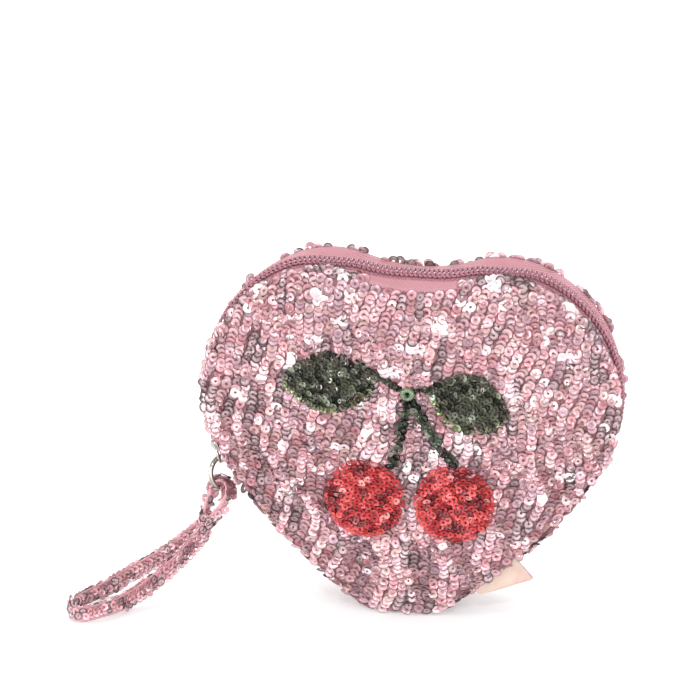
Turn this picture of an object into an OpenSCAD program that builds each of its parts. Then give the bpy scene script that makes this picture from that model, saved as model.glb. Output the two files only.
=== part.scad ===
// Heart shaped padded purse with a zip over both lobes, a ring pull and a wrist strap.
// The origin is the middle of the flattened tip, +Z is up and the front faces -Y.

/* [Heart outline] */
// Depth of the side strip between the two faces
purse_d = 24; // [18:1:32]
// Radius of the outer side of each lobe
lobe_r = 40.5; // [38:0.5:44]
// Distance from the middle to the centre of a lobe's outer arc
lobe_x = 22.5; // [20:0.5:25]
// Radius of the top of each lobe
crown_r = 29; // [26:1:34]
// Angle above level where the outer arc meets the top arc
crown_deg = 70; // [62:1:76]
// Angle below level where the lobe meets the long side arc
side_deg = 33; // [30:1:36]
// Radius of the long arc down each side
side_r = 160; // [140:5:200]
// Radius of the dip between the lobes
cleft_r = 50; // [30:1:60]
// Half the width of the flattened tip
tip_half = 8; // [6:0.5:11]

/* [Padded faces] */
// How far the middle of each face swells out
bulge = 6; // [4:0.5:9]
// Thickness of the sequinned cloth
cloth_t = 1; // [0.8:0.1:1.4]
// Thickness of the wadding
wadding_t = 3; // [2:0.25:4]
// Thickness of the lining
lining_t = 0.6; // [0.4:0.1:1]
// Height of the line where the front face folds open
fold_z = 56; // [54:0.5:60]

/* [Zip] */
// Thickness of the woven tape
tape_t = 0.8; // [0.6:0.1:0.9]
// Width of one row of coil
coil_w = 2.7; // [2.2:0.1:3.2]
// Height of the coil over the tape
coil_h = 1.5; // [1.2:0.1:2]
// Gap between the two rows of coil
coil_gap = 1; // [0.9:0.05:1.4]
// Distance from one turn of the coil to the next
coil_pitch = 2; // [1.6:0.1:2.6]
// Length of the stops at the ends of the coil
stop_l = 2; // [1.5:0.25:3]
// Length of zip below the fold on the side without the slider
tail_l = 4; // [3:0.5:8]

/* [Slider] */
// Length of the slider along the zip
slider_l = 9; // [7:0.5:11]
// Thickness of the slider's plates and flanges
slider_t = 0.9; // [0.7:0.1:1.1]
// Running gap between the slider and the zip
run_gap = 0.25; // [0.2:0.05:0.35]
// Thickness of the guide post between the rows
post_t = 0.45; // [0.35:0.05:0.5]
// Length of the guide post along the zip
post_l = 3; // [2:0.25:4]
// Radius of the hole in the slider's eye
eye_r = 1; // [0.8:0.05:1.2]
// Wall round that hole
eye_wall = 0.9; // [0.7:0.1:1.1]
// Thickness of the eye
eye_t = 1.1; // [0.9:0.1:1.4]

/* [Rings] */
// Radius of the link ring, to the middle of its wire
link_r = 3; // [2.7:0.1:3.4]
// Thickness of the link ring's wire
link_wire = 1; // [0.8:0.1:1.1]
// Radius of the pull ring, to the middle of its wire
ring_r = 5.2; // [4.8:0.1:6]
// Thickness of the pull ring's wire
ring_wire = 1.6; // [1.3:0.1:1.8]
// Slack between pieces that hang in each other
hang_gap = 0.25; // [0.2:0.05:0.3]

/* [Strap] */
// Width of the flat strap
strap_w = 5; // [4:0.5:6]
// Thickness of the flat strap
strap_t = 1.8; // [1.4:0.1:2.4]
// Half the width of the strap's eye, to the middle of the strap
strap_eye_r = 3.8; // [3.6:0.1:4.2]
// Thickness of the gathered strap round the eye
strap_eye_t = 1.8; // [1.4:0.1:2]
// Width of the gathered strap round the eye
strap_eye_w = 3.2; // [2.6:0.1:3.4]
// Length of the stitched band that gathers the strap under its eye
keeper_l = 3; // [2:0.5:4]

/* [Sewn on fruit and leaves] */
// Radius of each cherry
cherry_r = 12; // [9:0.5:13]
// Height of each cherry from the floor
cherry_z = 39.3; // [37:0.5:40]
// Distance between the middles of the cherries
cherry_gap = 28; // [27:0.5:32]
// Swell of the cherries and leaves at the middle
motif_swell = 1.2; // [0.6:0.1:2]
// Thickness of the cherries and leaves at the edge
motif_t = 0.8; // [0.5:0.1:1.2]
// Length of the left leaf
left_leaf_l = 34; // [26:1:36]
// Length of the right leaf
right_leaf_l = 25; // [20:1:28]
// Width of each leaf
leaf_w = 18; // [12:0.5:20]
// Thickness of the stems
stem_t = 1.8; // [1.2:0.1:2.2]
// Diameter of the glass bead
bead_d = 4; // [3:0.25:5]

/* [Label] */
// Length of the blank label along the seam
label_l = 17; // [12:1:20]
// How far the label stands out of the seam
label_w = 6.5; // [5:0.5:8]
// Thickness of the folded label
label_t = 0.9; // [0.6:0.1:1.2]

/* [Hidden] */
$fn = 48;

// Long side arc, tangent to the lobe and ending at the flattened tip
side_cx = lobe_x - (side_r - lobe_r) * cos(side_deg);
side_drop = (side_r - lobe_r) * sin(side_deg);
lobe_z = side_r * sin(acos((tip_half - side_cx) / side_r)) - side_drop;
side_cz = lobe_z + side_drop;

// Top arc of the lobe, and the dip between the lobes
crown_x = lobe_x + (lobe_r - crown_r) * cos(crown_deg);
crown_z = lobe_z + (lobe_r - crown_r) * sin(crown_deg);
cleft_rise = sqrt(pow(crown_r + cleft_r, 2) - pow(crown_x, 2));
cleft_z = crown_z + cleft_rise;
dip_deg = 90 + atan(crown_x / cleft_rise);

// Distance that neighbouring layers keep from the side strip, and from each other
seam_gap = 0.2;
ply_gap = 0.04;
strip_in = cloth_t + seam_gap;
half_d = purse_d / 2;

// Steps along the outline's arcs: side, lobe under the fold, lobe, top and half the dip
side_steps = 6;
under_steps = 2;
lobe_steps = 9;
crown_steps = 5;
dip_steps = 3;

// Rings of a padded face as shares of the way from the rim to the middle
ring_shares = [0, 0.06, 0.15, 0.3, 0.52];
swell_power = 2.2;

// Teeth of the coil as shares of the pitch and of the height
tooth_foot_share = 0.45;
tooth_tip_share = 0.24;
tooth_root_share = 0.35;

// Arc: centre, radius, first and last angle, and the way that outwards points
function heart_side(out) = [
    [[side_cx, side_cz], side_r + out, -asin((side_cz + out) / (side_r + out)), -side_deg, side_steps],
    [[lobe_x, lobe_z], lobe_r + out, -side_deg, fold_deg(out), under_steps],
    [[lobe_x, lobe_z], lobe_r + out, fold_deg(out), crown_deg, lobe_steps],
    [[crown_x, crown_z], crown_r + out, crown_deg, dip_deg, crown_steps],
    [[0, cleft_z], cleft_r - out, dip_deg - 180, -90, dip_steps]
];
function fold_deg(out) = -asin((lobe_z - fold_z) / (lobe_r + out));
function arc_point(arc, share) =
    let (a = arc[2] + (arc[3] - arc[2]) * share) arc[0] + arc[1] * [cos(a), sin(a)];
function arc_points(arc) = [for (i = [0:arc[4] - 1]) arc_point(arc, i / arc[4])];
function flipped(points) =
    [for (i = [len(points) - 1:-1:0]) [-points[i][0], points[i][1]]];

// Right half of the outline, from the fold up to the cleft and from the tip up to the fold
function upper_half(out) =
    let (arcs = heart_side(out))
    concat(arc_points(arcs[2]), arc_points(arcs[3]), arc_points(arcs[4]));
function lower_half(out) =
    let (arcs = heart_side(out))
    concat(arc_points(arcs[0]), arc_points(arcs[1]), [arc_point(arcs[2], 0)]);
function upper_ring(out) =
    concat(upper_half(out), [arc_point(heart_side(out)[4], 1)], flipped(upper_half(out)));
function lower_ring(out) = concat(flipped(lower_half(out)), lower_half(out));
function whole_ring(out) =
    let (lower = lower_ring(out))
    concat(upper_ring(out), [for (i = [1:len(lower) - 2]) lower[i]]);

// Solid between two skins, each made of rings of n points and one middle point
module skins(front, back, n, closed) {
    last = closed ? n - 1 : n - 2;
    levels = (len(front) - 1) / n;
    m = len(front);
    function at(skin, k, i) = skin * m + (k < levels ? k * n + i % n : levels * n);
    faces = [
        for (k = [0:levels - 1], i = [0:last]) each k < levels - 1
            ? [[at(0, k, i + 1), at(0, k, i), at(0, k + 1, i), at(0, k + 1, i + 1)],
               [at(1, k, i), at(1, k, i + 1), at(1, k + 1, i + 1), at(1, k + 1, i)]]
            : [[at(0, k, i + 1), at(0, k, i), at(0, levels, i)],
               [at(1, k, i), at(1, k, i + 1), at(1, levels, i)]]
    ];
    rim = [for (i = [0:last]) [at(0, 0, i), at(0, 0, i + 1), at(1, 0, i + 1), at(1, 0, i)]];
    cuts = closed ? [] : [
        for (k = [0:levels - 1]) each [
            [at(0, k + 1, 0), at(0, k, 0), at(1, k, 0), at(1, k + 1, 0)],
            [at(0, k, n - 1), at(0, k + 1, n - 1), at(1, k + 1, n - 1), at(1, k, n - 1)]
        ]
    ];
    polyhedron(concat(front, back), concat(faces, rim, cuts));
}

// Swell of a face at a share of the way from its rim to its middle
function swell(share) = bulge * (1 - pow(1 - share, swell_power));

// One skin of a padded face: rings drawn in towards the middle of the fold line
middle = [0, fold_z];
function face_skin(rim, ring, depth) = concat(
    [for (k = [0:len(ring_shares) - 1], i = [0:len(ring) - 1])
        let (p = k == 0 ? rim[i] : middle + (ring[i] - middle) * (1 - ring_shares[k]))
        [p[0], -depth - swell(ring_shares[k]), p[1]]],
    [[middle[0], -depth - swell(1), middle[1]]]
);

// Layer of a face between two depths, drawn as the front one
module layer(part, rim_in, depth_out, depth_in) {
    ring = part == "upper" ? upper_ring(0) : part == "lower" ? lower_ring(0) : whole_ring(0);
    rim = part == "upper" ? upper_ring(-rim_in)
        : part == "lower" ? lower_ring(-rim_in) : whole_ring(-rim_in);
    skins(face_skin(rim, ring, depth_out), face_skin(rim, ring, depth_in), len(ring), part == "whole");
}
module cloth_layer(part) layer(part, 0, half_d + cloth_t, half_d);
module wadding_layer(part) layer(part, strip_in, half_d - ply_gap, half_d - wadding_t);
module lining_layer(part)
    layer(part, strip_in, half_d - wadding_t - ply_gap, half_d - wadding_t - lining_t);

// Path along the outline, anticlockwise from the right end of the tip
function mirrored(arc) = [[-arc[0][0], arc[0][1]], arc[1], 180 - arc[3], 180 - arc[2], arc[4]];
right_arcs = heart_side(0);
path_arcs = concat(right_arcs, [for (i = [len(right_arcs) - 1:-1:0]) mirrored(right_arcs[i])]);
function arc_length(arc) = abs(arc[3] - arc[2]) * PI / 180 * arc[1];
function path_start(i) = i == 0 ? 0 : path_start(i - 1) + arc_length(path_arcs[i - 1]);
path_starts = [for (i = [0:len(path_arcs)]) path_start(i)];
path_l = path_starts[len(path_arcs)];
function arc_index(s) =
    let (passed = [for (i = [0:len(path_arcs) - 1]) if (path_starts[i] <= s) i])
    passed[max(len(passed) - 1, 0)];
function path_point(s, out) =
    let (i = arc_index(s), arc = path_arcs[i], share = (s - path_starts[i]) / arc_length(arc),
         a = arc[2] + (arc[3] - arc[2]) * share, way = arc[3] > arc[2] ? 1 : -1)
    arc[0] + (arc[1] + way * out) * [cos(a), sin(a)];
path_step = 2.5;
function path_line(s0, s1, out) =
    let (n = ceil(abs(s1 - s0) / path_step))
    [for (i = [0:n]) path_point(s0 + (s1 - s0) * i / n, out)];
function strip(s0, s1, low, high) = concat(path_line(s0, s1, high), path_line(s1, s0, low));

// Places along the path: fold on both sides, zip ends and the parked slider
fold_s = path_starts[2];
left_fold_s = path_l - fold_s;
zip_right_s = fold_s - tail_l;
park_gap = 2.6;
slider_deg = slider_l / lobe_r * 180 / PI;
park_deg = 180 + asin((lobe_z - fold_z + park_gap) / lobe_r) + slider_deg / 2;
zip_left_s = left_fold_s + (park_deg + slider_deg / 2 - 180 + fold_deg(0)) * PI / 180 * lobe_r
    + run_gap + stop_l;

// Outline of the path's plane made solid from one depth to another
module wall(y0, y1, points)
    translate([0, y1, 0]) rotate([90, 0, 0]) linear_extrude(y1 - y0) polygon(points);
module band(s0, s1, low, high, y0, y1) wall(y0, y1, strip(s0, s1, low, high));

// Row of coil with its turns as teeth, on the outside of the tape
function coil_outline(s0, s1, phase) = concat(
    [path_point(s0, tooth_root_share * coil_h)],
    [for (k = [ceil(s0 / coil_pitch):floor(s1 / coil_pitch)])
        let (s = (k + phase) * coil_pitch, foot = tooth_foot_share * coil_pitch,
             tip = tooth_tip_share * coil_pitch, root = tooth_root_share * coil_h)
        if (s - foot > s0 && s + foot < s1) each [
            path_point(s - foot, root), path_point(s - tip, coil_h),
            path_point(s + tip, coil_h), path_point(s + foot, root)
        ]],
    [path_point(s1, tooth_root_share * coil_h)],
    path_line(s1, s0, ply_gap)
);
module coil_row(s0, s1, phase, y0, y1) wall(y0, y1, coil_outline(s0, s1, phase));
row_in = coil_gap / 2;
row_out = row_in + coil_w;

// Where a place on the front face lies between its middle, 0, and its rim, 1
face_ring = whole_ring(0);
function rim_share(x, z) =
    let (v = [x, z] - middle, n = len(face_ring))
    max([for (i = [0:n - 1])
        let (p = face_ring[i] - middle, q = face_ring[(i + 1) % n] - middle, e = q - p)
        if (cross(p, v) >= 0 && cross(v, q) >= 0) cross(v, e) / cross(p, e)]);
swell_table = concat([for (share = ring_shares) [share, swell(share)]], [[1, swell(1)]]);
function face_y(x, z) = -half_d - cloth_t - lookup(1 - rim_share(x, z), swell_table);

// Piece sewn on the front face: an outline with a swell at its middle
sewn_gap = 0.15;
motif_shares = [1, 0.6];
function motif_skin(outline, centre, lift, rise) = concat(
    [for (share = motif_shares, p = outline)
        let (q = centre + (p - centre) * share)
        [q[0], face_y(q[0], q[1]) - lift - rise * (1 - share * share), q[1]]],
    [[centre[0], face_y(centre[0], centre[1]) - lift - rise, centre[1]]]
);
module motif(outline, centre)
    skins(motif_skin(outline, centre, sewn_gap + motif_t, motif_swell),
          motif_skin(outline, centre, sewn_gap, 0), len(outline), true);

// Cherries, with the pair set a little to the right of the middle
pair_share = 0.05;
pair_x = cherry_gap * pair_share;
left_cherry_at = [pair_x - cherry_gap / 2, cherry_z];
right_cherry_at = [pair_x + cherry_gap / 2, cherry_z];
cherry_sides = 20;
module cherry(centre)
    motif([for (i = [0:cherry_sides - 1]) centre + cherry_r * [cos(i * 360 / cherry_sides),
        sin(i * 360 / cherry_sides)]], centre);

// Bead and leaves over the fold
bead_at = [pair_x, cherry_z + 3 * cherry_r];
leaf_join = bead_d * 1.6;
leaf_steps = 9;
leaf_power = 0.8;
// Leaf from its stem end to its tip, turned by an angle about the stem end
function leaf_outline(start, length, angle) =
    let (along = [cos(angle), sin(angle)], across = [-sin(angle), cos(angle)],
         edge = [for (i = [0:leaf_steps]) i / leaf_steps])
    concat(
        [for (s = edge) start + along * length * s
            - across * leaf_w / 2 * pow(sin(180 * s), leaf_power)],
        [for (i = [leaf_steps - 1:-1:1]) start + along * length * edge[i]
            + across * leaf_w / 2 * pow(sin(180 * edge[i]), leaf_power)]
    );
module leaf(start, length, angle)
    motif(leaf_outline(start, length, angle),
          start + length / 2 * [cos(angle), sin(angle)]);
left_leaf_deg = 182;
right_leaf_deg = -18;
leaf_lift = bead_d * 0.5;

// Oval tube swept along a line of points, with its width held as near to a given way as it goes
function unit(v) = v / norm(v);
function heading(line, i) = unit(line[min(i + 1, len(line) - 1)] - line[max(i - 1, 0)]);
module tube(line, wide_r, thin_r, sides, wide_way) {
    n = len(line);
    points = [for (i = [0:n - 1])
        let (t = heading(line, i), u = unit(wide_way - (wide_way * t) * t), v = cross(t, u))
        for (j = [0:sides - 1])
            line[i] + wide_r * u * cos(j * 360 / sides) + thin_r * v * sin(j * 360 / sides)];
    walls = [for (i = [0:n - 2], j = [0:sides - 1])
        let (a = i * sides + j, b = i * sides + (j + 1) % sides)
        each [[a, a + sides, b + sides], [a, b + sides, b]]];
    ends = [[for (j = [0:sides - 1]) j], [for (j = [sides - 1:-1:0]) (n - 1) * sides + j]];
    polyhedron(points, concat(walls, ends));
}

// Stems from the bead to the cherries, bowed sideways and cut clear of the fold
fold_clear = 1.6;
stem_sides = 8;
stem_steps = 8;
stem_bow = 1.2;
function stem_point(end, bow, share) =
    let (p = bead_at + (end - bead_at) * share, side = unit([(bead_at - end)[1], (end - bead_at)[0]]))
    p + side * bow * sin(180 * share);
function stem_line(end, bow, high, low) =
    let (drop = bead_at[1] - end[1], from = (bead_at[1] - high) / drop, to = (bead_at[1] - low) / drop)
    [for (i = [0:stem_steps])
        let (p = stem_point(end, bow, from + (to - from) * i / stem_steps))
        [p[0], face_y(p[0], p[1]) - stem_t / 2 - sewn_gap * 2, p[1]]];
left_stem_end = left_cherry_at + (cherry_r + stem_t) * [cos(50), sin(50)];
right_stem_end = right_cherry_at + (cherry_r + stem_t) * [0, 1];
stem_high = bead_at[1] - bead_d / 2 - sewn_gap * 2;
module stem(end, bow, high, low)
    tube(stem_line(end, bow, high, low), stem_t / 2, stem_t / 2, stem_sides, [0, 1, 0]);

// Slider on the left lobe, drawn round the lobe's centre
left_lobe = [-lobe_x, lobe_z];
roof_low = lobe_r + coil_h + run_gap;
roof_high = roof_low + slider_t;
sole_high = lobe_r - tape_t - run_gap;
sole_low = sole_high - slider_t;
slider_half_w = row_out + run_gap + slider_t;
eye_high = roof_high + eye_r + eye_wall * 0.6;
eye_at = left_lobe + eye_high * [cos(park_deg), sin(park_deg)];
module round_lobe(from_deg, sweep_deg)
    translate([left_lobe[0], 0, left_lobe[1]]) rotate([90, 0, 0]) rotate([0, 0, from_deg])
        rotate_extrude(angle = sweep_deg, $fn = 96) children();
module slider_shell() {
    flange = slider_t;
    round_lobe(park_deg - slider_deg / 2, slider_deg) {
        translate([roof_low, -slider_half_w]) square([slider_t, 2 * slider_half_w]);
        translate([sole_low, -slider_half_w]) square([slider_t, 2 * slider_half_w]);
        for (side = [-1, 1])
            translate([lobe_r + run_gap, side > 0 ? slider_half_w - flange : -slider_half_w])
                square([roof_high - lobe_r - run_gap, flange]);
    }
    post_deg = post_l / lobe_r * 180 / PI;
    round_lobe(park_deg + slider_deg / 2 - post_deg, post_deg)
        translate([sole_low, -post_t / 2]) square([roof_high - sole_low, post_t]);
}
module slider_eye() {
    outer = eye_r + eye_wall;
    translate([eye_at[0], eye_t / 2, eye_at[1]]) rotate([90, 0, 0]) difference() {
        union() {
            cylinder(r = outer, h = eye_t);
            rotate([0, 0, park_deg]) translate([-(eye_high - roof_high) - slider_t / 2, -outer, 0])
                cube([eye_high - roof_high + slider_t / 2, 2 * outer, eye_t]);
        }
        translate([0, 0, -eye_t]) cylinder(r = eye_r, h = 3 * eye_t);
    }
}

// Rings: the link hangs in the slider's eye, and the pull ring hangs in the link
module ring(r, wire) rotate([90, 0, 0]) rotate_extrude() translate([r, 0]) circle(d = wire);
module half_ring(r, thick, wide)
    rotate([90, 0, 0]) rotate_extrude(angle = 180) translate([r, 0])
        scale([1, wide / thick]) circle(d = thick);
hang_deg = 15;
hang_dir = [sin(hang_deg), 0, -cos(hang_deg)];
ring_turn_deg = 45;
link_top = [eye_at[0], 0, eye_at[1]];
ring_top = link_top + hang_dir * (2 * link_r - link_wire / 2 - ring_wire / 2 - hang_gap);
ring_centre = ring_top + hang_dir * ring_r;
module hung(top, turn_deg) translate(top) rotate([0, -hang_deg, 0]) rotate([0, 0, turn_deg]) children();

// Place on the pull ring where the strap hangs, towards the front and the left
strap_at_deg = 25;
ring_side = [cos(hang_deg) * cos(ring_turn_deg), sin(ring_turn_deg), sin(hang_deg) * cos(ring_turn_deg)];
strap_at = ring_centre + ring_r * (hang_dir * cos(strap_at_deg) - ring_side * sin(strap_at_deg));

// Route of the strap: down from its band, along the floor, round its end and back up
strap_route = [
    [-63, -6, 22], [-64, -7, 20], [-67, -9, 16], [-71, -13, 12], [-76, -17, 8],
    [-81, -22, 5], [-86, -28, 3], [-91, -34, 3], [-95, -38, 3], [-98, -38, 3],
    [-100, -35, 3], [-100, -31, 3], [-98, -26, 3], [-95, -21, 3], [-91, -16, 4],
    [-86, -11, 6], [-80, -8, 9], [-75, -6, 12], [-70, -5, 16], [-65, -3, 20], [-64, -3, 22]
];
strap_sides = 8;
keeper_at = (strap_route[0] + strap_route[len(strap_route) - 1]) / 2;
strap_up = unit(strap_at - keeper_at);
strap_eye_low = strap_eye_r - (strap_eye_t + ring_wire) / 2 - hang_gap * 2;
strap_eye_run = norm(strap_at - keeper_at) - strap_eye_low - strap_eye_r;
strap_eye_turn_deg = -75;
module along(from, up) translate(from) rotate([0, acos(up[2]), atan2(up[1], up[0])]) children();

// Label in the lower right front seam
label_deg = -49;
label_low_share = 0.3;
label_at = [side_cx, side_cz] + (side_r + sewn_gap) * [cos(label_deg), sin(label_deg)];

module back_panel() color("#d7a0a8") mirror([0, 1, 0]) cloth_layer("whole");
module back_wadding() color("#efe6e2") mirror([0, 1, 0]) wadding_layer("whole");
module back_lining() color("#e2b9c0") mirror([0, 1, 0]) lining_layer("whole");
module front_panel_lower() color("#d7a0a8") cloth_layer("lower");
module front_wadding_lower() color("#efe6e2") wadding_layer("lower");
module front_lining_lower() color("#e2b9c0") lining_layer("lower");
module front_panel_upper() color("#d7a0a8") cloth_layer("upper");
module front_wadding_upper() color("#efe6e2") wadding_layer("upper");
module front_lining_upper() color("#e2b9c0") lining_layer("upper");

module bottom_gusset() color("#cf98a2") {
    band(zip_left_s, path_l, -cloth_t, 0, -half_d, half_d);
    band(0, zip_right_s, -cloth_t, 0, -half_d, half_d);
    translate([-tip_half, -half_d, 0]) cube([2 * tip_half, purse_d, cloth_t]);
}
module gusset_lining() color("#e2b9c0") {
    inner_d = purse_d - 2 * (wadding_t + lining_t + seam_gap);
    low = -strip_in - lining_t;
    band(zip_left_s, path_l, low, -strip_in, -inner_d / 2, inner_d / 2);
    band(0, zip_right_s, low, -strip_in, -inner_d / 2, inner_d / 2);
    translate([-tip_half, -inner_d / 2, strip_in]) cube([2 * tip_half, inner_d, lining_t]);
}
module rear_zip_tape() color("#c8879b") band(zip_right_s, zip_left_s, -tape_t, 0, row_in, half_d);
module front_zip_tape() color("#c8879b") band(fold_s, left_fold_s, -tape_t, 0, -half_d, -row_in);
module front_tape_ends() color("#c8879b") {
    band(zip_right_s, fold_s, -tape_t, 0, -half_d, -row_in);
    band(left_fold_s, zip_left_s, -tape_t, 0, -half_d, -row_in);
}
module rear_zip_coil() color("#a05f73")
    coil_row(zip_right_s + stop_l, zip_left_s - stop_l, 0, row_in, row_out);
module front_zip_coil() color("#a05f73") coil_row(fold_s, left_fold_s, 0.5, -row_out, -row_in);
module front_coil_ends() color("#a05f73") {
    coil_row(zip_right_s + stop_l, fold_s, 0.5, -row_out, -row_in);
    coil_row(left_fold_s, zip_left_s - stop_l, 0.5, -row_out, -row_in);
}
module zip_stops() color("#b07c8c") {
    band(zip_right_s, zip_right_s + stop_l, ply_gap, coil_h, -row_out, row_out);
    band(zip_left_s - stop_l, zip_left_s, ply_gap, coil_h, row_in, row_out);
    band(zip_left_s - stop_l, zip_left_s, ply_gap, coil_h, -row_out, -row_in);
}
module side_label() color("#eed7c8")
    translate([label_at[0], -half_d - label_t / 2, label_at[1]]) rotate([0, -label_deg, 0])
        translate([0, label_t, 0]) rotate([90, 0, 0]) linear_extrude(label_t)
            polygon([[0, -label_l / 2], [label_w * label_low_share, -label_l / 2],
                     [label_w, label_l / 2], [0, label_l / 2]]);
module left_cherry() color("#c8282c") cherry(left_cherry_at);
module right_cherry() color("#c8282c") cherry(right_cherry_at);
module stem_ends() color("#2c3c28") {
    stem(left_stem_end, 0, fold_z - fold_clear, left_stem_end[1]);
    stem(right_stem_end, -stem_bow, fold_z - fold_clear, right_stem_end[1]);
}
module stems() color("#2c3c28") {
    stem(left_stem_end, 0, stem_high, fold_z + fold_clear);
    stem(right_stem_end, -stem_bow, stem_high, fold_z + fold_clear);
}
module left_leaf() color("#2f4a2c")
    leaf(bead_at + [-leaf_join, leaf_lift], left_leaf_l, left_leaf_deg);
module right_leaf() color("#2f4a2c")
    leaf(bead_at + [leaf_join, leaf_lift], right_leaf_l, right_leaf_deg);
module stem_bead() color("#78b482")
    translate([bead_at[0], face_y(bead_at[0], bead_at[1]) - bead_d / 2 - sewn_gap, bead_at[1]])
        sphere(d = bead_d);
module slider_body() color("silver") {
    slider_shell();
    slider_eye();
}
module link_ring() color("silver") hung(link_top, 90) translate([0, 0, -link_r]) ring(link_r, link_wire);
module pull_ring() color("#aaa89b")
    hung(ring_top, ring_turn_deg) translate([0, 0, -ring_r]) ring(ring_r, ring_wire);
module strap_eye() color("#cf98a2") {
    along(strap_at, strap_up) rotate([0, 0, strap_eye_turn_deg]) translate([0, 0, -strap_eye_low]) {
        half_ring(strap_eye_r, strap_eye_t, strap_eye_w);
        translate([0, 0, -strap_eye_run]) mirror([0, 0, 1]) half_ring(strap_eye_r, strap_eye_t, strap_eye_w);
        for (x = [-strap_eye_r, strap_eye_r])
            translate([x, 0, -strap_eye_run]) scale([1, strap_eye_w / strap_eye_t, 1])
                cylinder(d = strap_eye_t, h = strap_eye_run);
    }
    along(keeper_at, strap_up) cylinder(d = strap_w + run_gap, h = keeper_l);
}
module strap_loop() color("#cf98a2") 
    tube(strap_route, strap_w / 2, strap_t / 2, strap_sides, [0, 0, 1]);

back_panel();
back_wadding();
back_lining();
front_panel_lower();
front_wadding_lower();
front_lining_lower();
bottom_gusset();
gusset_lining();
rear_zip_tape();
rear_zip_coil();
front_tape_ends();
front_coil_ends();
zip_stops();
side_label();
left_cherry();
right_cherry();
stem_ends();
front_panel_upper();
front_wadding_upper();
front_lining_upper();
front_zip_tape();
front_zip_coil();
stems();
left_leaf();
right_leaf();
stem_bead();
slider_body();
link_ring();
pull_ring();
strap_eye();
strap_loop();
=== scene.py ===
"""Looks of a padded heart shaped purse: sequins, zip, cherries and a wrist strap."""

import math

import bpy
import numpy as np
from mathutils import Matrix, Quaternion, Vector


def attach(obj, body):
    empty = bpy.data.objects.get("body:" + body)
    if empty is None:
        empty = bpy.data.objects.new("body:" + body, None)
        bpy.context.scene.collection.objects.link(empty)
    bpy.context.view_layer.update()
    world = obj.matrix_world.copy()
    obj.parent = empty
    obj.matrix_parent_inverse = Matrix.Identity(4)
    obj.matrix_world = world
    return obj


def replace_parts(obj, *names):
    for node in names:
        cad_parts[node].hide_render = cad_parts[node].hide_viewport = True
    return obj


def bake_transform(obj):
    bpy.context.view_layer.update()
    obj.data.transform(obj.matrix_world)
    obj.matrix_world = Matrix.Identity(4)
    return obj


MM = 0.001
FLOOR_GAP = 0.05
RNG = np.random.default_rng(7)

# Heart outline, in millimetres, as the CAD part draws it
HALF_D = 12.0
LOBE_R, LOBE_X = 40.5, 22.5
CROWN_R, CROWN_DEG = 29.0, 70.0
SIDE_R, SIDE_DEG = 160.0, 33.0
CLEFT_R, TIP_HALF = 50.0, 8.0
FOLD_Z = 56.0

# Zip: coil, ribs, stitches, ends and the cross-section of a tape
COIL_PITCH, COIL_OUT, COIL_TOP = 1.5, 3.2, 1.5
COIL_WIRE, COIL_LAP, COIL_LIFT = 0.36, 0.35, 0.15
RIB_PITCH, RIB_SLANT = 1.0, 0.7
STITCH_DEPTHS, STITCH_MARGIN = (2.2, 3.9), 2.6
STOP_L = 2.0
SLIDER_L, PARK_DEG = 9.0, 210.59
END_PAST_FOLD, END_PAST_SLIDER = 4.0, 2.25
TAPE_Y = (0.6, 2.0, 4.0, 6.5, 9.0, 11.0, 12.3, 12.0, 9.0, 6.5, 4.0, 2.0, 0.6)
TAPE_OUT = (0.0, 0.05, -0.1, -0.35, -0.3, -0.1, 0.1, -0.6, -1.0, -1.05, -0.8, -0.7, -0.7)
LOBE_SAG, LOBE_SAG_RUN = 1.5, 8.0
DIP_RISE, DIP_RISE_RUN = 1.1, 10.0

# Padded faces
RIM_DEPTH, PUFF = 12.4, 7.0
PUFF_POWER, PUFF_ROUND = 2.6, 0.8
CLOTH_INSET, LINING_INSET = 0.25, 1.7
LINING_RIM_DEPTH, LINING_LESS_PUFF = 3.4, 1.0
FACE_SHARES = np.array((1.0, 0.985, 0.96, 0.925, 0.88, 0.82, 0.75, 0.66, 0.56, 0.45, 0.34, 0.22, 0.11, 0.02))
FACE_LOOP = 220

# Sequins
SEQUIN_R = 1.7
FILM_METAL = 0.34
STRING_GAP, STRING_STEP = 2.75, 1.5

# Fruit, leaves and stems, in the plane of the face
CHERRIES = ((-12.0, 39.6), (15.4, 39.6))
CHERRY_R = 12.0
BEAD = (0.2, 75.3)
BEAD_R, BEAD_W, BEAD_T, BEAD_PROUD = 1.4, 0.95, 0.85, 1.7
LEFT_LEAF = ((-10.2, 77.5), 27.6, 182.0)
RIGHT_LEAF = ((7.0, 77.0), 25.0, -18.0)
LEAF_W = 17.1
LEAF_ROW_DEG, LEAF_ROW_GAP, LEAF_STEP = 38.0, 1.75, 1.3
CHERRY_RING_GAP, CHERRY_RISE, CHERRY_TALL = 1.53, 0.8, 1.045
STEMS = (((0.2, 75.3), (-1.6, 63.0), (-4.0, 51.2)), ((0.2, 75.3), (7.2, 64.0), (15.8, 52.6)))
STALKS = (((-0.2, 75.6), (-5.6, 78.3), (-11.0, 81.4), (-15.8, 84.0)), ((1.2, 75.8), (4.5, 76.8), (8.6, 77.2)))

# Route of the strap, in millimetres, as the CAD part has it
ROUTE = (
    (-63, -6, 22), (-64, -7, 20), (-67, -9, 16), (-71, -13, 12), (-76, -17, 8),
    (-81, -22, 5), (-86, -28, 3), (-91, -34, 3), (-95, -38, 3), (-98, -38, 3),
    (-100, -35, 3), (-100, -31, 3), (-98, -26, 3), (-95, -21, 3), (-91, -16, 4),
    (-86, -11, 6), (-80, -8, 9), (-75, -6, 12), (-70, -5, 16), (-65, -3, 20), (-64, -3, 22),
)
STRAP_W, STRAP_T = 5.0, 1.0
STRAP_AT = np.array((-58.76, -1.55, 33.0))
KEEPER_AT = np.array((-63.5, -4.5, 22.0))
STRAP_ROWS, STRAP_STEP = (-1.3, 0.0, 1.3), 1.75

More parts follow.
